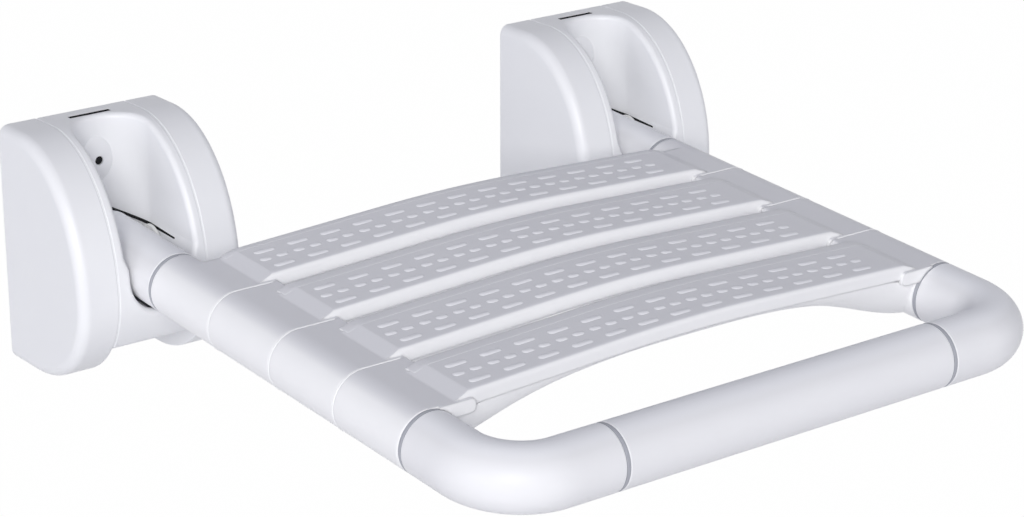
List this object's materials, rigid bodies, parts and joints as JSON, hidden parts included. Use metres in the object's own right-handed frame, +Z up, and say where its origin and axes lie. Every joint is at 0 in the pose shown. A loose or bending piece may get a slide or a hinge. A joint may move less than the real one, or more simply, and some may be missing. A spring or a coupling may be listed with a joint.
{
  "type": "fold down wall seat",
  "caption": "Wall-mounted seat that folds up flat: crowned plastic slats on a rounded, sleeved tube frame, hinged between D-shaped wall housings with a scooped channel for each arm.",
  "frame": {"origin": "on the wall plane, midway between the housings, level with the hinge line", "axes": "+X to the right of someone facing the wall, +Y towards the wall, +Z up; the seat is folded down"},
  "size_m": [0.4402, 0.4011, 0.135],
  "materials": {
    "slat_plastic": "white satin moulded plastic",
    "sleeve_plastic": "white glossy moulded plastic",
    "housing_plastic": "white glossy moulded plastic",
    "seam_rubber": "dark grey soft rubber",
    "bush_plastic": "natural bearing plastic",
    "frame_aluminium": "plain drawn",
    "bracket_steel": "brushed stainless"
  },
  "bodies": {
    "wall_brackets": {"left_wall_bracket": "bracket_steel", "left_housing": "housing_plastic", "left_outer_cheek": "housing_plastic", "left_inner_cheek": "housing_plastic", "left_pivot_pin": "bracket_steel", "left_pin_clip": "bracket_steel", "left_stop_bar": "bracket_steel", "left_stop_sleeve": "seam_rubber", "left_housing_screw": "bracket_steel", "right_wall_bracket": "bracket_steel", "right_housing": "housing_plastic", "right_outer_cheek": "housing_plastic", "right_inner_cheek": "housing_plastic", "right_pivot_pin": "bracket_steel", "right_pin_clip": "bracket_steel", "right_stop_bar": "bracket_steel", "right_stop_sleeve": "seam_rubber", "right_housing_screw": "bracket_steel"},
    "seat": {"slat_1": "slat_plastic", "slat_2": "slat_plastic", "slat_3": "slat_plastic", "slat_4": "slat_plastic", "frame_tube": "frame_aluminium", "front_sleeve": "sleeve_plastic", "seam_rings": "seam_rubber", "left_elbow_sleeve": "sleeve_plastic", "right_elbow_sleeve": "sleeve_plastic", "left_arm_neck": "sleeve_plastic", "left_hinge_eye": "frame_aluminium", "left_pivot_bushes": "bush_plastic", "left_neck_screw": "bracket_steel", "right_arm_neck": "sleeve_plastic", "right_hinge_eye": "frame_aluminium", "right_pivot_bushes": "bush_plastic", "right_neck_screw": "bracket_steel"}
  },
  "joints": [
    {"name": "seat_fold", "type": "hinge", "parent": "wall_brackets", "child": "seat", "pos_m": [0, -0.0386, 0], "axis": [-1, 0, 0], "range_deg": [0, 94.5]}
  ]
}
